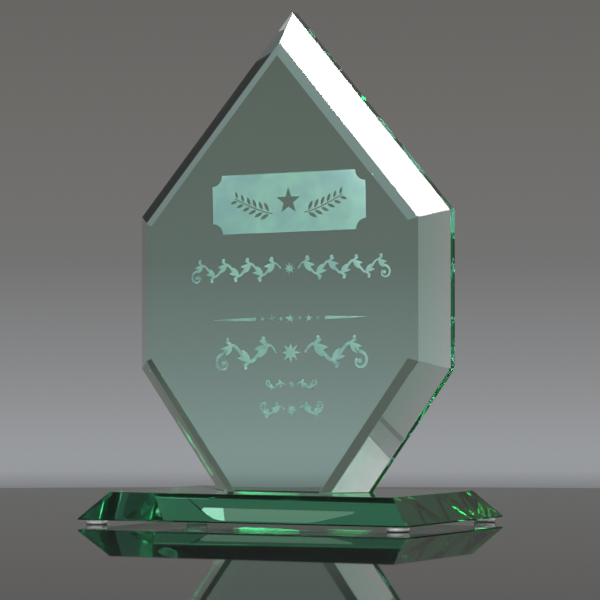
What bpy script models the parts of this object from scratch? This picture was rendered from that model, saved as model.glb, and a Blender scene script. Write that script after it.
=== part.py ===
"""Seven-sided bevelled jade-glass award on a bevelled glass base.

Metres, +Z up.  The origin is on the surface that the award stands on, under
the middle of the base.  The bevelled front of the plaque faces -Y and its back is etched.
"""

import math

import bmesh
import bpy
from mathutils import Vector

# clear bumper feet
FOOT_DIAMETER = 0.0100
FOOT_STANDOFF = 0.0021          # from the table to the underside of the base
FOOT_INSET = 0.0062             # foot centre to each side of the base
FOOT_CONTACT_RADIUS = 0.0034    # flat spot that the foot rests on
FOOT_ROUND_SHARE = 0.55         # share of the foot's height that is rounded over
FOOT_ROUND_STEPS = 4
FOOT_STEPS = 40

# base, a slab whose four sides slope outwards to the bottom
BASE_LENGTH = 0.1570
BASE_DEPTH = 0.1060
BASE_THICKNESS = 0.0120
BASE_BEVEL_RUN = 0.0103
BASE_LAND = 0.0006              # upright strip under the slope

# plaque outline, heights above the underside of the base
PLAQUE_WIDTH = 0.1520
PLAQUE_FOOT_WIDTH = 0.0742      # where the plaque meets the base
APEX_HEIGHT = 0.2240
SHOULDER_HEIGHT = 0.1346
HIP_HEIGHT = 0.0661

# plaque section, from the back to the front
PLAQUE_THICKNESS = 0.0200
EDGE_LAND = 0.0044              # upright edge behind the bevels
STEEP_BEVEL_WIDTH = 0.0097
STEEP_BEVEL_DEPTH = 0.0133
SHALLOW_BEVEL_WIDTH = 0.0036
FOOT_TRIM = 0.0060              # spare glass below the square cut, past the bevels
PLAQUE_SETBACK = -0.0052        # middle of the plaque's thickness, in Y

# joints between pieces
GAP = 0.0003
BOND_THICKNESS = 0.0003
BOND_MARGIN = 0.0008            # the film stops short of the plaque's edges

ARRIS = 0.00025                 # polished corner break on sharp glass edges
SNAP = 1e-6                     # heights closer than this are the same

# places that follow from the dimensions above
BASE_UNDERSIDE = FOOT_STANDOFF
BASE_TOP = BASE_UNDERSIDE + BASE_THICKNESS
BOND_BOTTOM = BASE_TOP + GAP
PLAQUE_BOTTOM = BOND_BOTTOM + BOND_THICKNESS + GAP
PLAQUE_FRONT = PLAQUE_SETBACK - PLAQUE_THICKNESS / 2
PLAQUE_BACK = PLAQUE_SETBACK + PLAQUE_THICKNESS / 2
SHALLOW_BEVEL_DEPTH = PLAQUE_THICKNESS - EDGE_LAND - STEEP_BEVEL_DEPTH

JADE_COLOUR = (0.48, 0.72, 0.58, 1.0)
BOND_COLOUR = (0.80, 0.92, 0.86, 1.0)
FOOT_COLOUR = (0.90, 0.93, 0.92, 1.0)


def clear_scene():
    """Remove every object, so that the script can be run again."""
    for item in list(bpy.data.objects):
        bpy.data.objects.remove(item, do_unlink=True)


def make_collection(name):
    """Return a new collection linked to the scene."""
    group = bpy.data.collections.new(name)
    bpy.context.scene.collection.children.link(group)
    return group


def make_material(name, colour, roughness, transmission):
    """Principled material of a clear, non-metallic piece."""
    material = bpy.data.materials.new(name)
    material.use_nodes = True
    shader = material.node_tree.nodes["Principled BSDF"]
    shader.inputs["Base Color"].default_value = colour
    shader.inputs["Roughness"].default_value = roughness
    shader.inputs["Metallic"].default_value = 0.0
    shader.inputs["Transmission Weight"].default_value = transmission
    material.diffuse_color = colour
    return material


def add_object(name, mesh, group, material=None):
    """Link a mesh into a collection as a named object."""
    item = bpy.data.objects.new(name, mesh)
    if material is not None:
        mesh.materials.append(material)
    group.objects.link(item)
    return item


def perimeter_at(bm, height):
    """Edges that run around the solid at one local height."""
    return [edge for edge in bm.edges
            if all(abs(vert.co.z - height) < SNAP for vert in edge.verts)]


def bevelled_slab(name, outline, land, steps):
    """Slab lying on its outline, with the top face inset in bevel steps.

    The upright land comes first.  Each step is (width, rise): the top face is
    inset evenly by the width and lifted by the rise.  The lower edges and the
    edge above the land get an arris.
    """
    bm = bmesh.new()
    corners = [bm.verts.new((x, y, 0.0)) for x, y in outline]
    floor = bm.faces.new(corners)
    bmesh.ops.recalc_face_normals(bm, faces=[floor])
    wall = bmesh.ops.extrude_face_region(bm, geom=[floor])
    raised = [item for item in wall["geom"] if isinstance(item, bmesh.types.BMVert)]
    bmesh.ops.translate(bm, verts=raised, vec=(0.0, 0.0, land))
    bmesh.ops.recalc_face_normals(bm, faces=bm.faces)
    height = land
    for width, rise in steps:
        top = max(bm.faces, key=lambda face: face.calc_center_median().z)
        bmesh.ops.inset_region(bm, faces=[top], thickness=width, depth=rise,
                               use_even_offset=True, use_boundary=True)
        height += rise
    sharp = perimeter_at(bm, 0.0) + perimeter_at(bm, land)
    bmesh.ops.bevel(bm, geom=sharp, offset=ARRIS, offset_type="OFFSET",
                    segments=1, profile=0.5, affect="EDGES", clamp_overlap=True)
    bmesh.ops.recalc_face_normals(bm, faces=bm.faces)
    mesh = bpy.data.meshes.new(name)
    bm.to_mesh(mesh)
    bm.free()
    return mesh


def box_mesh(name, low, high):
    """Axis-aligned box between two corners."""
    bm = bmesh.new()
    bmesh.ops.create_cube(bm, size=1.0)
    size = Vector(high) - Vector(low)
    middle = (Vector(high) + Vector(low)) / 2
    bmesh.ops.scale(bm, vec=size, verts=bm.verts)
    bmesh.ops.translate(bm, vec=middle, verts=bm.verts)
    mesh = bpy.data.meshes.new(name)
    bm.to_mesh(mesh)
    bm.free()
    return mesh


def plaque_half_width(height):
    """Half width of the lower, tapering part at a height above the base's underside."""
    foot_height = PLAQUE_BOTTOM - BASE_UNDERSIDE
    share = (height - foot_height) / (HIP_HEIGHT - foot_height)
    return (PLAQUE_FOOT_WIDTH + share * (PLAQUE_WIDTH - PLAQUE_FOOT_WIDTH)) / 2


def make_plaque(group, cutters, material):
    """Plaque, bevelled all round and then cut off square at the foot."""
    spare = STEEP_BEVEL_WIDTH + SHALLOW_BEVEL_WIDTH + FOOT_TRIM
    tail_height = PLAQUE_BOTTOM - BASE_UNDERSIDE - spare
    tail = plaque_half_width(tail_height)
    half = PLAQUE_WIDTH / 2
    right = [(tail, tail_height), (half, HIP_HEIGHT), (half, SHOULDER_HEIGHT)]
    left = [(-x, z) for x, z in reversed(right)]
    outline = right + [(0.0, APEX_HEIGHT)] + left
    steps = [(STEEP_BEVEL_WIDTH, STEEP_BEVEL_DEPTH),
             (SHALLOW_BEVEL_WIDTH, SHALLOW_BEVEL_DEPTH)]
    mesh = bevelled_slab("plaque", outline, EDGE_LAND, steps)
    plaque = add_object("plaque", mesh, group, material)
    # lying on its back: local Y becomes height, local Z points to the front
    plaque.rotation_euler = (math.radians(90.0), 0.0, 0.0)
    plaque.location = (0.0, PLAQUE_BACK, BASE_UNDERSIDE)

    low = (-PLAQUE_WIDTH, PLAQUE_FRONT - FOOT_TRIM, BASE_UNDERSIDE - spare)
    high = (PLAQUE_WIDTH, PLAQUE_BACK + FOOT_TRIM, PLAQUE_BOTTOM)
    cutter = add_object("plaque_foot_cutter", box_mesh("plaque_foot_cutter", low, high), cutters)
    cutter.hide_render = True
    cutter.display_type = "WIRE"
    trim = plaque.modifiers.new("square_foot", "BOOLEAN")
    trim.operation = "DIFFERENCE"
    trim.object = cutter
    return plaque


def make_base(group, material):
    """Rectangular base whose sides slope outwards to the bottom."""
    x = BASE_LENGTH / 2
    y = BASE_DEPTH / 2
    outline = [(-x, -y), (x, -y), (x, y), (-x, y)]
    steps = [(BASE_BEVEL_RUN, BASE_THICKNESS - BASE_LAND)]
    base = add_object("base", bevelled_slab("base", outline, BASE_LAND, steps), group, material)
    base.location = (0.0, 0.0, BASE_UNDERSIDE)
    return base


def make_bond(group, material):
    """Cured adhesive film between the plaque's foot and the base."""
    panel = PLAQUE_FOOT_WIDTH / 2 - BOND_MARGIN
    front = panel - (STEEP_BEVEL_WIDTH + SHALLOW_BEVEL_WIDTH)
    near = PLAQUE_FRONT + BOND_MARGIN
    shoulder = PLAQUE_BACK - EDGE_LAND
    far = PLAQUE_BACK - BOND_MARGIN
    outline = [(-front, near), (front, near), (panel, shoulder), (panel, far),
               (-panel, far), (-panel, shoulder)]
    curve = bpy.data.curves.new("uv_bond_film", "CURVE")
    curve.dimensions = "2D"
    curve.fill_mode = "BOTH"
    curve.extrude = BOND_THICKNESS / 2
    spline = curve.splines.new("POLY")
    spline.points.add(len(outline) - 1)
    for point, (x, y) in zip(spline.points, outline):
        point.co = (x, y, 0.0, 1.0)
    spline.use_cyclic_u = True
    curve.materials.append(material)
    film = bpy.data.objects.new("uv_bond_film", curve)
    film.location = (0.0, 0.0, BOND_BOTTOM + BOND_THICKNESS / 2)
    group.objects.link(film)
    return film


def foot_profile():
    """Half section of a bumper foot, from its top centre down to its contact centre."""
    radius = FOOT_DIAMETER / 2
    top = FOOT_STANDOFF - GAP
    waist = FOOT_ROUND_SHARE * top
    points = [(0.0, top), (radius, top), (radius, waist)]
    for step in range(1, FOOT_ROUND_STEPS + 1):
        angle = math.radians(90.0) * step / FOOT_ROUND_STEPS
        x = FOOT_CONTACT_RADIUS + (radius - FOOT_CONTACT_RADIUS) * math.cos(angle)
        z = waist * (1.0 - math.sin(angle))
        points.append((x, z))
    points.append((0.0, 0.0))
    return points


def make_foot(name, place, group, material):
    """One clear bumper foot, turned about its own axis."""
    points = foot_profile()
    mesh = bpy.data.meshes.new(name)
    edges = [(index, index + 1) for index in range(len(points) - 1)]
    mesh.from_pydata([(x, 0.0, z) for x, z in points], edges, [])
    foot = add_object(name, mesh, group, material)
    foot.location = place
    turn = foot.modifiers.new("turned", "SCREW")
    turn.axis = "Z"
    turn.angle = math.radians(360.0)
    turn.steps = FOOT_STEPS
    turn.render_steps = FOOT_STEPS
    turn.use_merge_vertices = True
    turn.merge_threshold = 0.00001
    mesh.shade_smooth()
    return foot


def make_feet(group, material):
    """Four feet, one near each corner of the base."""
    x = BASE_LENGTH / 2 - FOOT_INSET
    y = BASE_DEPTH / 2 - FOOT_INSET
    for side, sign_x in (("left", -1), ("right", 1)):
        for end, sign_y in (("front", -1), ("back", 1)):
            make_foot(f"foot_{end}_{side}", (sign_x * x, sign_y * y, 0.0), group, material)


def main():
    clear_scene()
    group = make_collection("jade_glass_award")
    cutters = make_collection("cutters")
    jade = make_material("jade_glass", JADE_COLOUR, 0.02, 1.0)
    jade_base = make_material("jade_glass_base", JADE_COLOUR, 0.02, 1.0)
    bond = make_material("cured_adhesive", BOND_COLOUR, 0.30, 0.8)
    bumper = make_material("clear_bumper", FOOT_COLOUR, 0.10, 0.9)
    make_plaque(group, cutters, jade)
    make_base(group, jade_base)
    make_bond(group, bond)
    make_feet(group, bumper)


main()
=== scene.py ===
import math

import bpy
import numpy as np
from mathutils import Matrix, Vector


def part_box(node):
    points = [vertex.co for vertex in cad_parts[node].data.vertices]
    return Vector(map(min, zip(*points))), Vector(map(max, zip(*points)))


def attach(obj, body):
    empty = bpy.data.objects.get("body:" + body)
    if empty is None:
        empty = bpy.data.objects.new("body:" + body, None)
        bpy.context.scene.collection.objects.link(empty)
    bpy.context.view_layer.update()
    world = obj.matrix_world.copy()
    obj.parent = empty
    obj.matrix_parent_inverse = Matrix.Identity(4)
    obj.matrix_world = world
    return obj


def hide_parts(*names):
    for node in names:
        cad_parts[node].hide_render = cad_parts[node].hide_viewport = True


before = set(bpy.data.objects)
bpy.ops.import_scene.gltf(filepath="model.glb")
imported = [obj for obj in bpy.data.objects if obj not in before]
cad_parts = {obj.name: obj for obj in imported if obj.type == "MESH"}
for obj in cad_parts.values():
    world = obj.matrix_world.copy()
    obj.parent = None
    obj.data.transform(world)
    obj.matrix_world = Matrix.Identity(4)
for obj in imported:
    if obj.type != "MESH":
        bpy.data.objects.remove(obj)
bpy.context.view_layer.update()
print("frame loaded:", ", ".join(sorted(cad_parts)))

plaqueLow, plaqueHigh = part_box("plaque")
baseLow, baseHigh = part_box("base")
contact = 0.00002       # air left between pieces that touch
filmHeight = 0.00020
bondLevel = baseHigh.z + filmHeight       # underside of the glass plaque, on its film of adhesive


# the camera, floor and light come first, because the glass shows little else
view = {
    "turn": 26.24,          # degrees round from straight in front
    "distance": 1.360,
    "height": 0.0677,
    "tilt": 1.29,           # degrees up from level
    "lens": 185.4,
    "sensor": 36,
    "shift": 0.0217,
}


def makeCamera():
    # stands on a circle round the plaque, turned to its right side, nearly level
    turn = math.radians(view["turn"])
    middleY = (plaqueLow.y + plaqueHigh.y) / 2
    reach = view["distance"]
    data = bpy.data.cameras.new("camera")
    data.sensor_width = view["sensor"]
    data.lens = view["lens"]
    data.shift_x = view["shift"]
    data.clip_start = 0.05
    data.clip_end = 60
    camera = bpy.data.objects.new("camera", data)
    camera.location = (reach * math.sin(turn), middleY - reach * math.cos(turn), view["height"])
    camera.rotation_euler = (math.radians(90 + view["tilt"]), 0, turn)
    bpy.context.scene.collection.objects.link(camera)
    bpy.context.scene.camera = camera


studio = {
    "floorRadius": 0.92,
    "floorSteps": 180,
    "floorToward": 0.50,      # how far the table's middle lies from the award towards the camera
    "floorColor": (0.013, 0.013, 0.0145, 1),
    "floorRoughness": 0.02,
    "aim": (0, 0, 0.11),      # the softboxes face this point
    # brightness of the backdrop against how steeply the sight line rises, in degrees
    "backdrop": [
        (-20, 0.20), (-11, 0.26), (-4, 0.30), (-3.3, 0.28), (-2.7, 0.15), (-2.3, 0.16), (-1.95, 0.32),
        (-1.5, 0.33), (0, 0.25), (2, 0.170), (4.6, 0.15), (7, 0.13), (12.7, 0.13), (14.3, 0.03),
        (17.5, 0.03), (21, 0.18), (25, 0.26), (31, 0.28), (38, 0.18), (48, 0.18), (60, 0.35), (90, 0.35),
    ],
    # share of red taken away under the turning height and added over it, growing for the span's degrees,
    # and how many times as much blue goes the other way
    "tint": 0.035,
    "tintBlue": 1.5,
    "tintTurn": 1.5,
    "tintSpan": 3,
    # the lit part of the backdrop: its middle in degrees round, how far off it starts to fade and stops
    # fading, and the share of its light that is left there
    "litRound": -26,
    "litHalf": 37,
    "litFade": 54,
    "rest": 0.30,
}
# each softbox: degrees round from straight behind, degrees up, metres away, width and height, degrees
# rolled, brightness, and whether a mirror shows it
softboxes = {
    "topRight": {"round": 96.4, "up": 56.6, "away": 1.46, "size": (0.55, 0.55), "roll": 0,
                 "level": 21, "mirrored": True},
    "frontRight": {"round": 147, "up": 18, "away": 1.44, "size": (0.45, 0.50), "roll": 0,
                   "level": 38, "mirrored": False},
    "overFront": {"round": -168, "up": 57, "away": 1.50, "size": (0.40, 0.36), "roll": 0,
                  "level": 6, "mirrored": True},
    "leftBright": {"round": -57.1, "up": 10.8, "away": 1.40, "size": (0.30, 0.103), "roll": 39,
                   "level": 0.45, "mirrored": True},
    "leftDim": {"round": -54.5, "up": 14.0, "away": 1.40, "size": (0.28, 0.098), "roll": 39,
                "level": 0.15, "mirrored": True},
    "leftBar": {"round": -55.5, "up": 12.73, "away": 1.40, "size": (0.30, 0.017), "roll": 39,
                "level": 0.08, "mirrored": True},
    "leftTop": {"round": -54.2, "up": 14.37, "away": 1.40, "size": (0.26, 0.075), "roll": 39,
                "level": 0.09, "mirrored": True},
    "leftLow": {"round": -64.5, "up": 1.5, "away": 1.40, "size": (0.40, 0.26), "roll": 0,
                "level": 0.12, "mirrored": True},
    "backLeftHigh": {"round": -39.4, "up": 26, "away": 1.50, "size": (0.33, 0.26), "roll": 0,
                     "level": 0.65, "mirrored": True},
}


def makeBackdrop(scene):
    # a grey that changes with the height of the sight line: each step's place is the sine of its angle.
    # Sideways it fades with the cosine of the angle from the lit part's middle
    world = bpy.data.worlds.new("backdrop")
    scene.world = world
    world.use_nodes = True
    tree = world.node_tree
    coordinate = tree.nodes.new("ShaderNodeTexCoord")
    split = tree.nodes.new("ShaderNodeSeparateXYZ")
    span = tree.nodes.new("ShaderNodeMapRange")
    ramp = tree.nodes.new("ShaderNodeValToRGB")
    lowest = math.sin(math.radians(studio["backdrop"][0][0]))
    span.inputs["From Min"].default_value = lowest
    tree.links.new(coordinate.outputs["Generated"], split.inputs[0])
    tree.links.new(split.outputs["Z"], span.inputs["Value"])
    tree.links.new(span.outputs[0], ramp.inputs[0])
    tree.links.new(ramp.outputs[0], tree.nodes["Background"].inputs[0])
    middle = math.radians(studio["litRound"])
    across = tree.nodes.new("ShaderNodeVectorMath")
    across.operation = "DOT_PRODUCT"
    across.inputs[1].default_value = (math.sin(middle), math.cos(middle), 0)
    fade = tree.nodes.new("ShaderNodeMapRange")
    fade.interpolation_type = "SMOOTHSTEP"
    fade.inputs["From Min"].default_value = math.cos(math.radians(studio["litFade"]))
    fade.inputs["From Max"].default_value = math.cos(math.radians(studio["litHalf"]))
    fade.inputs["To Min"].default_value = studio["rest"]
    tree.links.new(coordinate.outputs["Generated"], across.inputs[0])
    tree.links.new(across.outputs["Value"], fade.inputs["Value"])
    tree.links.new(fade.outputs[0], tree.nodes["Background"].inputs["Strength"])
    steps = []
    for angle, grey in studio["backdrop"]:
        cool = studio["tint"] * min(1, max(-1, (studio["tintTurn"] - angle) / studio["tintSpan"]))
        color = (grey * (1 - cool), grey, grey * (1 + studio["tintBlue"] * cool), 1)
        steps.append(((math.sin(math.radians(angle)) - lowest) / (1 - lowest), color))
    stops = ramp.color_ramp.elements
    stops[0].position, stops[0].color = steps[0]
    stops[1].position, stops[1].color = steps[-1]
    for spot, color in steps[1:-1]:
        stops.new(spot).color = color


def makeFloor(scene):
    # round table top, glossy and dark: one ring of points
    angle = np.linspace(0, 2 * np.pi, studio["floorSteps"], endpoint=False)
    turn, reach = math.radians(view["turn"]), studio["floorToward"]
    middle = np.array([reach * math.sin(turn), -reach * math.cos(turn), 0])
    ring = np.stack([np.cos(angle), np.sin(angle), 0 * angle], -1) * studio["floorRadius"] + middle
    mesh = bpy.data.meshes.new("floor")
    mesh.from_pydata(ring.tolist(), [], [list(range(len(ring)))])
    floor = bpy.data.objects.new("floor", mesh)
    scene.collection.objects.link(floor)
    material = bpy.data.materials.new("tableTop")
    material.use_nodes = True
    shader = material.node_tree.nodes["Principled BSDF"]
    shader.inputs["Base Color"].default_value = studio["floorColor"]
    shader.inputs["Roughness"].default_value = studio["floorRoughness"]
    mesh.materials.append(material)


def makeSoftboxes(scene):
    # a panel's power is its brightness times pi times its area
    for name, box in softboxes.items():
        data = bpy.data.lights.new(name, "AREA")
        data.shape = "RECTANGLE"
        data.size, data.size_y = box["size"]
        data.energy = box["level"] * math.pi * box["size"][0] * box["size"][1]
        lamp = bpy.data.objects.new(name, data)
        turn, rise = math.radians(box["round"]), math.radians(box["up"])
        level = math.cos(rise)
        toward = np.array([math.sin(turn) * level, math.cos(turn) * level, math.sin(rise)])
        lamp.location = np.array(studio["aim"]) + box["away"] * toward
        facing = Matrix.Rotation(math.pi - turn, 3, "Z") @ Matrix.Rotation(math.pi / 2 - rise, 3, "X")
        lamp.rotation_euler = (facing @ Matrix.Rotation(math.radians(box["roll"]), 3, "Z")).to_euler()
        lamp.visible_camera = False          # the glass still shows it
        lamp.visible_glossy = box["mirrored"]
        scene.collection.objects.link(lamp)


scene = bpy.context.scene
scene.view_settings.view_transform = "Standard"
# light crosses many faces before it leaves the glass
scene.cycles.max_bounces = 24
scene.cycles.transmission_bounces = 24
scene.cycles.glossy_bounces = 16
makeCamera()
makeBackdrop(scene)
makeFloor(scene)
makeSoftboxes(scene)
print("camera, floor and light are up")


# finishes of the clear pieces. On its way through the glass each colour fades at the density times what the
# body colour lacks of one; the film and the feet are too thin to need a body colour
jade = {
    "ior": 1.52,
    "clear": 1.0,
    "bonds": True,
    "density": 19.0,
    "body": (0.105, 0.863, 0.568, 1),
    "ripple": 55,
    "rippleHeight": 0.000003,
    "wipe": 26,
    "wipeRoughness": 0.03,
}
bumperClear = {
    "ior": 1.49,
    "clear": 0.70,
    "bonds": False,
    "ripple": 400,
    "rippleHeight": 0.000004,
    "wipe": 300,
    "wipeRoughness": 0.12,
}
adhesive = {
    "ior": 1.47,
    "clear": 1.0,
    "bonds": True,
    "ripple": 300,
    "rippleHeight": 0.000002,
    "wipe": 200,
    "wipeRoughness": 0.04,
}


def clearMaterial(name, look):
    # polished clear body: a slow noise is the ripple left by polishing, and where a second one is over its
    # middle the surface has the faint haze of wiping
    material = bpy.data.materials.new(name)
    material.use_nodes = True
    tree = material.node_tree
    link = tree.links.new
    shader = tree.nodes["Principled BSDF"]
    shader.inputs["Base Color"].default_value = (1, 1, 1, 1)
    shader.inputs["IOR"].default_value = look["ior"]
    shader.inputs["Transmission Weight"].default_value = look["clear"]
    coordinate = tree.nodes.new("ShaderNodeTexCoord")
    ripple = tree.nodes.new("ShaderNodeTexNoise")
    ripple.inputs["Scale"].default_value = look["ripple"]
    ripple.inputs["Detail"].default_value = 1
    bump = tree.nodes.new("ShaderNodeBump")
    bump.inputs["Distance"].default_value = look["rippleHeight"]
    wipe = tree.nodes.new("ShaderNodeTexNoise")
    wipe.inputs["Scale"].default_value = look["wipe"]
    wipe.inputs["Detail"].default_value = 4
    haze = tree.nodes.new("ShaderNodeMapRange")
    haze.inputs["From Min"].default_value = 0.5
    haze.inputs["From Max"].default_value = 0.9
    haze.inputs["To Max"].default_value = look["wipeRoughness"]
    link(coordinate.outputs["Object"], ripple.inputs["Vector"])
    link(coordinate.outputs["Object"], wipe.inputs["Vector"])
    link(ripple.outputs["Fac"], bump.inputs["Height"])
    link(bump.outputs["Normal"], shader.inputs["Normal"])
    link(wipe.outputs["Fac"], haze.inputs["Value"])
    link(haze.outputs["Result"], shader.inputs["Roughness"])
    if look["bonds"]:
        # a face wetted by adhesive is no surface to see: its bending falls from the body's to none
        wet = tree.nodes.new("ShaderNodeAttribute")
        wet.attribute_name = "bonded"
        bending = tree.nodes.new("ShaderNodeMapRange")
        bending.inputs["To Min"].default_value = look["ior"]
        bending.inputs["To Max"].default_value = 1.0
        link(wet.outputs["Fac"], bending.inputs["Value"])
        link(bending.outputs["Result"], shader.inputs["IOR"])
    if "density" in look:
        body = tree.nodes.new("ShaderNodeVolumeAbsorption")
        body.inputs["Color"].default_value = look["body"]
        body.inputs["Density"].default_value = look["density"]
        link(body.outputs[0], tree.nodes["Material Output"].inputs["Volume"])
    return material


def unit(v):
    return v / np.linalg.norm(v, axis=-1, keepdims=True)


def facetRings(corners, moving, stations, rounding, arcSteps=3):
    # rings of a faceted plate, one for each station (inset, level). A corner inset by w is the corner plus
    # w times its slide, which solves the offset equations of its two sides; a side with moving 0 stays put.
    # Every corner is a short quadratic arc between two points on its sides
    corners = np.asarray(corners, float)
    along = unit(np.roll(corners, -1, 0) - corners)
    inward = np.stack([-along[:, 1], along[:, 0]], -1)
    moving = np.asarray(moving, float)
    pair = np.stack([np.roll(inward, 1, 0), inward], 1)
    slide = np.linalg.solve(pair, np.stack([np.roll(moving, 1), moving], -1)[..., None])[..., 0]
    t = np.linspace(0, 1, arcSteps + 1)[None, :, None]
    before = (corners - rounding * np.roll(along, 1, 0))[:, None]
    after = (corners + rounding * along)[:, None]
    arc = (1 - t) ** 2 * before + 2 * t * (1 - t) * corners[:, None] + t ** 2 * after
    outline = arc.reshape(-1, 2)
    slides = np.repeat(slide, arcSteps + 1, 0)
    stations = np.array(stations, float)[:, None, None]
    flat = outline[None] + stations[..., 0] * slides[None]
    level = np.broadcast_to(stations[..., 1], flat[..., :1].shape)
    return np.concatenate([flat, level], -1)


def softenedProfile(points, size, steps=3):
    # polyline whose inner corners become short quadratic arcs that reach by size along both sides
    out = [points[0]]
    for a, b, c in zip(points[:-2], points[1:-1], points[2:]):
        a, b, c = np.array(a, float), np.array(b, float), np.array(c, float)
        before, after = b + size * unit(a - b), b + size * unit(c - b)
        for t in np.linspace(0, 1, steps + 1):
            out.append(tuple((1 - t) ** 2 * before + 2 * t * (1 - t) * b + t ** 2 * after))
    out.append(points[-1])
    return out


def ringMesh(name, rings, material, smooth=False):
    # rings x points x 3 array to a closed skin: quads between rings, one face on each end
    count, around = rings.shape[:2]
    index = np.arange(count * around).reshape(count, around)
    nextOne = np.roll(index, -1, 1)
    faces = np.stack([index[:-1], nextOne[:-1], nextOne[1:], index[1:]], -1).reshape(-1, 4).tolist()
    faces += [index[0][::-1].tolist(), index[-1].tolist()]
    mesh = bpy.data.meshes.new(name)
    mesh.from_pydata(rings.reshape(-1, 3).tolist(), [], faces)
    mesh.update()
    if smooth:
        mesh.shade_smooth()
        mesh.set_sharp_from_angle(angle=math.radians(32))
    mesh.materials.append(material)
    piece = bpy.data.objects.new(name, mesh)
    bpy.context.scene.collection.objects.link(piece)
    return piece


def bondFaces(piece, *levels):
    # marks the level faces inside the plaque's foot that touch the adhesive
    mesh = piece.data
    normals = np.zeros(len(mesh.polygons) * 3)
    centres = np.zeros(len(mesh.polygons) * 3)
    mesh.polygons.foreach_get("normal", normals)
    mesh.polygons.foreach_get("center", centres)
    normals, centres = normals.reshape(-1, 3), centres.reshape(-1, 3)
    near = np.min([np.abs(centres[:, 2] - level) for level in levels], 0) < contact / 20
    flat = np.abs(normals[:, 2]) > 0.999
    wetted = flat & near & insideFoot(centres[:, :2])
    mesh.attributes.new("bonded", "FLOAT", "FACE").data.foreach_set("value", wetted.astype(float))


def place(piece, slot, *stoodFor):
    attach(piece, "root")
    if stoodFor:
        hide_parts(*stoodFor)


plaque = {
    "footWidth": 0.0742,
    "shoulder": 0.1367,        # heights of the side corners over the table
    "hip": 0.0682,
    "edgeLand": 0.0044,        # upright edge behind the bevels
    "steepWidth": 0.0097,      # first bevel, across and deep
    "steepDepth": 0.0133,
    "shallowWidth": 0.0036,    # second bevel, which takes up the rest of the thickness
    "arris": 0.00022,
    "miter": 0.00012,
}


def footOutline():
    # the plaque's section where it stands, counter-clockwise from above, front left corner first
    foot = plaque["footWidth"] / 2
    rise = plaque["hip"] - baseHigh.z
    spread = plaqueHigh.x - foot
    lean = math.hypot(rise, spread) / rise        # how far the side moves along X for each unit of inset
    land = plaqueHigh.y - plaque["edgeLand"]
    steep = land - plaque["steepDepth"]
    steepX = foot - plaque["steepWidth"] * lean
    frontX = steepX - plaque["shallowWidth"] * lean
    right = [(frontX, plaqueLow.y), (steepX, steep), (foot, land), (foot, plaqueHigh.y)]
    return np.array([(-frontX, plaqueLow.y)] + right + [(-x, y) for x, y in right[:0:-1]])


def insideFoot(points):
    # a point is inside the outline, which bulges everywhere, when it is to the left of every side
    outline = footOutline()
    side = np.roll(outline, -1, 0) - outline
    to = points[:, None] - outline[None]
    return np.all(side[None, :, 0] * to[..., 1] - side[None, :, 1] * to[..., 0] > -1e-9, 1)


def makePlaque(material):
    # drawn lying on its back, as insets of its outline at each depth, then stood up
    half = plaqueHigh.x
    foot = plaque["footWidth"] / 2
    # sides in order: foot, lower right, right, upper right, upper left, left, lower left
    corners = [(-foot, bondLevel), (foot, bondLevel), (half, plaque["hip"]), (half, plaque["shoulder"]),
               (0, plaqueHigh.z), (-half, plaque["shoulder"]), (-half, plaque["hip"])]
    moving = [0, 1, 1, 1, 1, 1, 1]
    back, front = plaqueHigh.y, plaqueLow.y
    land = back - plaque["edgeLand"]
    steep = land - plaque["steepDepth"]
    bevel = plaque["steepWidth"] + plaque["shallowWidth"]
    # the first and last points only give the arrises at the back and the front their direction
    profile = [(1, back), (0, back), (0, land), (plaque["steepWidth"], steep), (bevel, front), (1, front)]
    stations = softenedProfile(profile, plaque["arris"])[1:-1]
    rings = facetRings(corners, moving, stations, plaque["miter"])[..., [0, 2, 1]]
    piece = ringMesh("jadePlaque", rings, material)
    bondFaces(piece, bondLevel)
    place(piece, "plaque_glass", "plaque")


base = {
    "run": 0.0103,      # how far the slope leans in on its way up
    "land": 0.0006,
    "arris": 0.00022,
    "corner": 0.0003,
}


def makeBase(material):
    # insets of a rectangle going up: the underside's edge, the upright land, the slope and the top
    low, high = baseLow, baseHigh
    corners = [(low.x, low.y), (high.x, low.y), (high.x, high.y), (low.x, high.y)]
    profile = [(1, low.z), (0, low.z), (0, low.z + base["land"]), (base["run"], high.z), (1, high.z)]
    stations = softenedProfile(profile, base["arris"])[1:-1]
    rings = facetRings(corners, [1, 1, 1, 1], stations, base["corner"])
    # the top's innermost ring is the outline that the plaque stands on: its corners and the middles of its
    # sides, rolled round so that they start at the base's own first corner
    foot = footOutline()
    foot = np.stack([foot, (foot + np.roll(foot, -1, 0)) / 2], 1).reshape(-1, 2)
    foot = np.roll(foot, 2, 0)
    last = np.concatenate([foot, np.full((len(foot), 1), high.z)], 1)
    rings = np.concatenate([rings, last[None]], 0)
    piece = ringMesh("jadeBase", rings, material)
    bondFaces(piece, high.z)
    place(piece, "base_glass", "base")


bond = {"bead": 0.00030, "steps": 7}


def makeBond(material):
    # the plaque's foot section, its rim a half round outwards where the adhesive was squeezed out
    outline = footOutline()
    low, high = baseHigh.z + contact, bondLevel - contact
    turn = np.linspace(-np.pi / 2, np.pi / 2, bond["steps"])
    middle, half = (low + high) / 2, (high - low) / 2
    stations = np.stack([-bond["bead"] * np.cos(turn), middle + half * np.sin(turn)], -1)
    rings = facetRings(outline, [1] * len(outline), stations, bond["bead"])
    piece = ringMesh("bondFilm", rings, material)
    bondFaces(piece, low, high)
    place(piece, "bond", "uv_bond_film")


bumper = {
    "steps": 96,
    "rim": 0.55,          # where the round starts, as a share of the height
    "flat": 0.68,         # size of the resting flat, as a share of the radius
    "roundSteps": 10,
    "topFlat": 0.96,      # the top edge is eased from here out, and down by this much
    "topEase": 0.0001,
}


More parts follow.
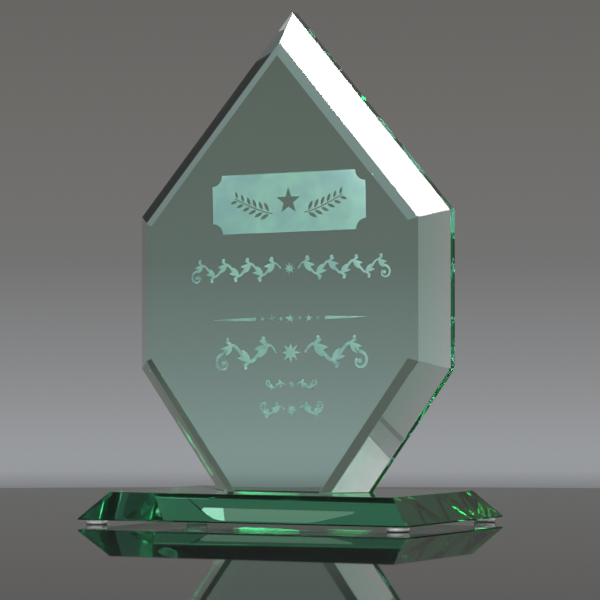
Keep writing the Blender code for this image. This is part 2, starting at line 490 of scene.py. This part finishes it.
def makeFeet(material):
    # turned profile: the top's edge, the side, and a quarter round down to the flat that rests on the table
    for name in ("foot_front_left", "foot_front_right", "foot_back_left", "foot_back_right"):
        low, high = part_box(name)
        radius = (high.x - low.x) / 2
        top = baseLow.z - contact
        waist = low.z + bumper["rim"] * (high.z - low.z)
        flat = bumper["flat"] * radius
        turn = np.linspace(0, np.pi / 2, bumper["roundSteps"])
        rim = np.array([(radius * bumper["topFlat"], top), (radius, top - bumper["topEase"])])
        quarter = np.stack([flat + (radius - flat) * np.cos(turn),
                            waist - (waist - low.z) * np.sin(turn)], -1)
        profile = np.concatenate([rim, quarter])[::-1]
        angle = np.linspace(0, 2 * np.pi, bumper["steps"], endpoint=False)
        x = (low.x + high.x) / 2 + profile[:, :1] * np.cos(angle)
        y = (low.y + high.y) / 2 + profile[:, :1] * np.sin(angle)
        z = np.broadcast_to(profile[:, 1:], x.shape)
        piece = ringMesh(name + "_clear", np.stack([x, y, z], -1), material, smooth=True)
        place(piece, "bumper", name)


jadeGlass = clearMaterial("jadeGlass", jade)
makePlaque(jadeGlass)
makeBase(jadeGlass)
makeBond(clearMaterial("curedAdhesive", adhesive))
makeFeet(clearMaterial("clearBumper", bumperClear))
print("plaque, base, bond and feet are made")


# the etching is cut into the plaque's back and read through the glass. Heights are over the table, and the
# whole of the artwork is tilted a little about its level
etching = {
    "depth": 0.00008,
    "centerX": 0.0004,
    "tilt": 1.0,
    "level": 0.0902,
    "cloudLow": (0.84, 0.75, 0.93, 1),
    "cloudHigh": (1.0, 0.92, 1.0, 1),
    "cloudEdges": (0.35, 0.65),
    "cloud": 90,
    "grain": 4000,
    "grainHeight": 0.00004,
    "grainStrength": 0.35,
    "roughness": (0.65, 0.95),
}
cartouche = {
    "z": 0.1415,
    "width": 0.0750,
    "height": 0.0262,
    "scoop": 0.0048,
    "star": 0.0062,
    "starLift": 0.0006,
    "stemIn": 0.0078,          # the stem runs outwards from here for its reach, and rises as it goes
    "stemReach": 0.0186,
    "stemDrop": 0.0046,
    "stemRise": 0.0072,
    "stemBend": 1.4,
    "stemHalf": 0.00026,
    "leaves": 6,               # pairs on each stem
    "leaf": 0.0050,
    "leafHalf": 0.00082,
    "leafStart": 0.6,          # where the first pair sits, as a share of the way to the second
    "leafShrink": 0.3,         # how much shorter, and how much narrower, a leaf is at the stem's tip
    "leafThin": 0.25,
    "leafLean": 16,            # degrees from level at the stem's root, and what is added by its tip
    "leafTurn": 14,
    "leafSpread": 46,          # degrees that each leaf of a pair stands off from that
    "leafGap": 0.00045,
    "cutDepths": 6,            # how far the cutter goes through the etching, in its depths
}
# proportions that all the vines have in common, as shares of a vine's own height, star, curl, pen or leaf
vine = {
    "starPoints": 8,
    "starWaist": 0.45,
    "starRoom": 1.5,
    "swing": 0.26,
    "penEnds": 0.55,           # width of a stem's ends
    "curl": 0.30,
    "curlShrink": 0.62,
    "curlTurn": 1.75,          # half turns that the curl winds through
    "curlPen": 0.9,
    "curlThin": 0.6,
    "eye": 0.26,
    "dwindle": 0.25,           # how much smaller the leaves get on their way out
    "pairLeans": (28, 66),     # degrees
    "pairBend": 0.25,
    "backLean": 38,
    "backLength": 0.62,
    "backHalf": 0.8,
    "backBend": 0.2,
    "berryLift": 0.46,
}
titleVine = {"z": 0.1123, "half": 0.0490, "height": 0.0100, "waves": 3.5, "pen": 0.00058,
             "leaf": 0.0054, "leafHalf": 0.00080, "berry": 0.00090, "center": 0.0028}
nameScroll = {"z": 0.0752, "half": 0.0375, "height": 0.0140, "waves": 1.5, "pen": 0.00080,
              "leaf": 0.0074, "leafHalf": 0.00110, "berry": 0.00095, "center": 0.0046}
figureSprig = {"z": 0.0609, "half": 0.0125, "height": 0.0044, "waves": 1.0, "pen": 0.00046,
               "leaf": 0.0033, "leafHalf": 0.00058, "berry": 0.00050, "center": 0.0017}
footerSprig = {"z": 0.0500, "half": 0.0155, "height": 0.0066, "waves": 1.0, "pen": 0.00054,
               "leaf": 0.0045, "leafHalf": 0.00078, "berry": 0.00060, "center": 0.0024}
divider = {
    "z": 0.0902,
    "step": 0.00455,
    "dot": 0.00078,
    "bigStar": 0.0024,
    "smallStar": 0.0020,
    "barIn": 0.0170,
    "barOut": 0.0380,
    "barHalf": 0.00075,
    "barTaper": 0.85,
}


def etchedFrost():
    # sand-blasted glass: a slow noise clouds the white between two tones, a fine one is the grain of both
    # its roughness and its height
    material = bpy.data.materials.new("etchedFrost")
    material.use_nodes = True
    tree = material.node_tree
    link = tree.links.new
    shader = tree.nodes["Principled BSDF"]
    coordinate = tree.nodes.new("ShaderNodeTexCoord")
    cloud = tree.nodes.new("ShaderNodeTexNoise")
    cloud.inputs["Scale"].default_value = etching["cloud"]
    cloud.inputs["Detail"].default_value = 3
    tone = tree.nodes.new("ShaderNodeValToRGB")
    stops = tone.color_ramp.elements
    stops[0].position, stops[1].position = etching["cloudEdges"]
    stops[0].color, stops[1].color = etching["cloudLow"], etching["cloudHigh"]
    grain = tree.nodes.new("ShaderNodeTexNoise")
    grain.inputs["Scale"].default_value = etching["grain"]
    grain.inputs["Detail"].default_value = 2
    rough = tree.nodes.new("ShaderNodeMapRange")
    rough.inputs["To Min"].default_value, rough.inputs["To Max"].default_value = etching["roughness"]
    bump = tree.nodes.new("ShaderNodeBump")
    bump.inputs["Strength"].default_value = etching["grainStrength"]
    bump.inputs["Distance"].default_value = etching["grainHeight"]
    link(coordinate.outputs["Object"], cloud.inputs["Vector"])
    link(coordinate.outputs["Object"], grain.inputs["Vector"])
    link(cloud.outputs["Fac"], tone.inputs["Fac"])
    link(tone.outputs["Color"], shader.inputs["Base Color"])
    link(grain.outputs["Fac"], rough.inputs["Value"])
    link(rough.outputs["Result"], shader.inputs["Roughness"])
    link(grain.outputs["Fac"], bump.inputs["Height"])
    link(bump.outputs["Normal"], shader.inputs["Normal"])
    return material


def onBack(flat):
    # artwork (across, up, proud of the glass) to the plaque's back face, turned by the tilt about its level
    tilt = math.radians(etching["tilt"])
    across, up = flat[..., 0], flat[..., 1] - etching["level"]
    x = etching["centerX"] + across * math.cos(tilt) - up * math.sin(tilt)
    z = etching["level"] + across * math.sin(tilt) + up * math.cos(tilt)
    return np.stack([x, plaqueHigh.y + flat[..., 2], z], -1)


penAngles = np.arange(8) * np.pi / 4
penSection = np.stack([np.cos(penAngles), np.sin(penAngles)])
cutterSection = np.array([[1, 1, -1, -1], [-1, 1, 1, -1]])


def stroke(path, halfWidth, section=penSection, deep=1):
    # a closed tube along the path: its section is as wide as the pen and as deep as the etching
    slope = np.gradient(path, axis=0)
    normal = unit(np.stack([-slope[:, 1], slope[:, 0]], -1))
    across, proud = section
    flat = path[:, None] + normal[:, None] * (halfWidth[:, None] * across[None])[..., None]
    depth = np.broadcast_to(proud * etching["depth"] * deep, flat.shape[:2])
    return np.concatenate([flat, depth[..., None]], -1)


def plate(outline, scales, depths):
    # flat plate: the outline shrunk towards its centre by each scale, at each depth
    center = outline.mean(0)
    flat = center + (outline - center)[None] * np.asarray(scales)[:, None, None]
    depth = np.broadcast_to(np.asarray(depths)[:, None, None], flat[..., :1].shape)
    return np.concatenate([flat, depth], -1)


def roundPlate(outline, soften=0.08):
    # both rims are eased in by the soften share of the size
    h = etching["depth"]
    return plate(outline, [1 - soften, 1 - soften / 4, 1.0, 1 - soften / 4, 1 - soften],
                 [-h, -0.8 * h, 0, 0.8 * h, h])


def starOutline(x, z, radius, points=5, waist=0.40):
    # radius alternates between the tips and the waist
    angle = np.pi / 2 + np.arange(2 * points) * np.pi / points
    reach = np.where(np.arange(2 * points) % 2 == 0, radius, radius * waist)
    return np.stack([x + reach * np.cos(angle), z + reach * np.sin(angle)], -1)


def dotOutline(x, z, radius):
    angle = np.linspace(0, 2 * np.pi, 25)[:-1]
    return np.stack([x + radius * np.cos(angle), z + radius * np.sin(angle)], -1)


def leafStroke(root, angle, length, half, bend=0):
    # the half width swells as the sine of the way along to a power, the rib bends as the way's square
    t = np.linspace(0.02, 0.98, 13)
    along, side = length * t, bend * length * t * t
    path = np.stack([root[0] + along * math.cos(angle) - side * math.sin(angle),
                     root[1] + along * math.sin(angle) + side * math.cos(angle)], -1)
    return path, half * np.sin(np.pi * t) ** 0.8


def vineParts(shape):
    # two mirrored stems wave outwards from a star. Each crest carries a pair of leaves, a smaller one that
    # leans back and a berry, and each stem ends in a curl whose radius shrinks as it winds
    height, waves, pen = shape["height"], shape["waves"], shape["pen"]
    start = shape["center"] * vine["starRoom"]
    curl = height * vine["curl"]
    run = shape["half"] - start - curl
    crestHeight = vine["swing"] * height
    up = 1 if math.cos(2 * math.pi * waves) > 0 else -1
    t = np.linspace(0, 1, 90)
    swing = crestHeight * np.sin(2 * np.pi * waves * t)
    s = np.linspace(0, 1, 40)
    radius = curl * (1 - vine["curlShrink"] * s)
    turn = np.pi * (vine["curlTurn"] * s - 0.5)
    stem = np.stack([start + run * t, swing], -1)
    spiral = np.stack([start + run + radius * np.cos(turn),
                       swing[-1] + up * (curl + radius * np.sin(turn))], -1)
    strokes = [(stem, pen * (vine["penEnds"] + (1 - vine["penEnds"]) * np.sin(np.pi * t))),
               (spiral, pen * vine["curlPen"] * (1 - vine["curlThin"] * s))]
    dots = [(start + run, swing[-1] + up * curl, curl * vine["eye"])]
    for i in range(int(2 * waves)):
        way = (i + 0.5) / (2 * waves)
        x = start + run * way
        rise = 1 if i % 2 == 0 else -1
        size = 1 - vine["dwindle"] * way
        long, wide = shape["leaf"] * size, shape["leafHalf"] * size
        root = (x, rise * crestHeight)
        for lean in vine["pairLeans"]:
            strokes.append(leafStroke(root, -rise * math.radians(lean), long, wide, rise * vine["pairBend"]))
        strokes.append(leafStroke(root, rise * math.radians(vine["backLean"]), long * vine["backLength"],
                                  wide * vine["backHalf"], -rise * vine["backBend"]))
        # the berry hangs a quarter of a crest further out
        dots.append((x + run / (8 * waves), rise * vine["berryLift"] * height, shape["berry"] * size))
    parts = [roundPlate(starOutline(0, 0, shape["center"], vine["starPoints"], vine["starWaist"]))]
    for side in (-1, 1):
        parts += [stroke(path * (side, 1), half) for path, half in strokes]
        parts += [roundPlate(dotOutline(side * x, z, radius)) for x, z, radius in dots]
    return [part + np.array([0, shape["z"], 0]) for part in parts]


def skins(name, parts, material):
    # joins ring arrays, each a closed skin, into one mesh. Artwork runs the other way round on the back,
    # and a mirrored stroke the other way again, so a skin whose volume comes out negative is turned
    verts, faces, start = [], [], 0
    for rings in parts:
        count, around = rings.shape[:2]
        index = np.arange(count * around).reshape(count, around)
        nextOne = np.roll(index, -1, 1)
        quads = np.stack([index[:-1], nextOne[:-1], nextOne[1:], index[1:]], -1).reshape(-1, 4)
        ends = [index[0][::-1], index[-1]]
        flat = rings.reshape(-1, 3)
        local = flat - flat.mean(0)
        a, b, c, d = (local[quads[:, k]] for k in range(4))
        volume = np.sum(np.cross(a, b) * c) + np.sum(np.cross(a, c) * d)
        for end in ends:
            fan = local[end]
            volume += np.sum(np.cross(fan[1:-1], fan[2:]) @ fan[0])
        way = -1 if volume < 0 else 1
        faces += (start + quads[:, ::way]).tolist() + [(start + end[::way]).tolist() for end in ends]
        verts.append(flat)
        start += count * around
    mesh = bpy.data.meshes.new(name)
    mesh.from_pydata(np.concatenate(verts).tolist(), [], faces)
    mesh.update()
    mesh.materials.append(material)
    piece = bpy.data.objects.new(name, mesh)
    bpy.context.scene.collection.objects.link(piece)
    return piece


def cartoucheOutline():
    # a ticket: a rectangle with a quarter circle scooped out of each corner
    w, h, scoop = cartouche["width"] / 2, cartouche["height"] / 2, cartouche["scoop"]
    angle = np.linspace(0, np.pi / 2, 10)
    quarters = []
    for sx, sz in ((1, -1), (1, 1), (-1, 1), (-1, -1)):
        arc = np.stack([sx * (w - scoop * np.cos(angle)), sz * (h - scoop * np.sin(angle))], -1)
        quarters.append(arc if sx * sz < 0 else arc[::-1])
    return np.concatenate(quarters) + np.array([0, cartouche["z"]])


def sprigRib(t):
    # the stem of a laurel spray at the share t of its reach: it rises as t to the power of its bend
    x = cartouche["stemIn"] + cartouche["stemReach"] * t
    z = cartouche["z"] - cartouche["stemDrop"] + cartouche["stemRise"] * t ** cartouche["stemBend"]
    return x, z


def clearParts():
    # left clear in the cartouche: a star between two sprays of paired leaves
    deep = cartouche["cutDepths"]
    star = starOutline(0, cartouche["z"] + cartouche["starLift"], cartouche["star"])
    parts = [plate(star, [1, 1], [-deep * etching["depth"], deep * etching["depth"]])]
    s = np.linspace(0, 1, 30)
    strokes = [(np.stack(sprigRib(s), -1), np.full(len(s), cartouche["stemHalf"]))]
    for i in range(cartouche["leaves"]):
        t = (i + cartouche["leafStart"]) / cartouche["leaves"]
        x, z = sprigRib(t)
        long = cartouche["leaf"] * (1 - cartouche["leafShrink"] * t)
        wide = cartouche["leafHalf"] * (1 - cartouche["leafThin"] * t)
        for lift in (-1, 1):
            lean = cartouche["leafLean"] + cartouche["leafTurn"] * t + cartouche["leafSpread"] * lift
            strokes.append(leafStroke((x, z + lift * cartouche["leafGap"]), math.radians(lean), long, wide))
    for side in (-1, 1):
        parts += [stroke(path * (side, 1), half, cutterSection, deep) for path, half in strokes]
    return parts


def makeCartouche(material):
    # the whole ticket, less the parts left clear
    piece = skins("etchedCartouche", [onBack(roundPlate(cartoucheOutline(), 0.015))], material)
    cutter = skins("cartoucheCutter", [onBack(part) for part in clearParts()], material)
    cut = piece.modifiers.new("clear", "BOOLEAN")
    cut.operation = "DIFFERENCE"
    cut.use_self = True
    cut.object = cutter
    bpy.context.view_layer.update()
    done = bpy.data.meshes.new_from_object(piece.evaluated_get(bpy.context.evaluated_depsgraph_get()))
    piece.modifiers.clear()
    piece.data = done
    bpy.data.objects.remove(cutter)
    place(piece, "plaque_glass")


def makeVine(name, shape, material):
    place(skins(name, [onBack(part) for part in vineParts(shape)], material), "plaque_glass")


def makeDivider(material):
    # stars and dots by turns, then a bar on each side that tapers outwards
    z, step, reach = divider["z"], divider["step"], divider["barOut"] - divider["barIn"]
    parts = [roundPlate(dotOutline(k * step, z, divider["dot"])) for k in (-3, -1, 1, 3)]
    parts += [roundPlate(starOutline(k * step, z, divider["smallStar"])) for k in (-2, 2)]
    parts.append(roundPlate(starOutline(0, z, divider["bigStar"])))
    for side in (-1, 1):
        s = np.linspace(0, 1, 24)
        bar = np.stack([side * (divider["barIn"] + reach * s), z + 0 * s], -1)
        parts.append(stroke(bar, divider["barHalf"] * (1 - divider["barTaper"] * s)))
    place(skins("etchedDivider", [onBack(part) for part in parts], material), "plaque_glass")


frost = etchedFrost()
makeCartouche(frost)
makeVine("etchedTitle", titleVine, frost)
makeDivider(frost)
makeVine("etchedName", nameScroll, frost)
makeVine("etchedFigure", figureSprig, frost)
makeVine("etchedFooter", footerSprig, frost)
print("etching is on the back of the plaque")
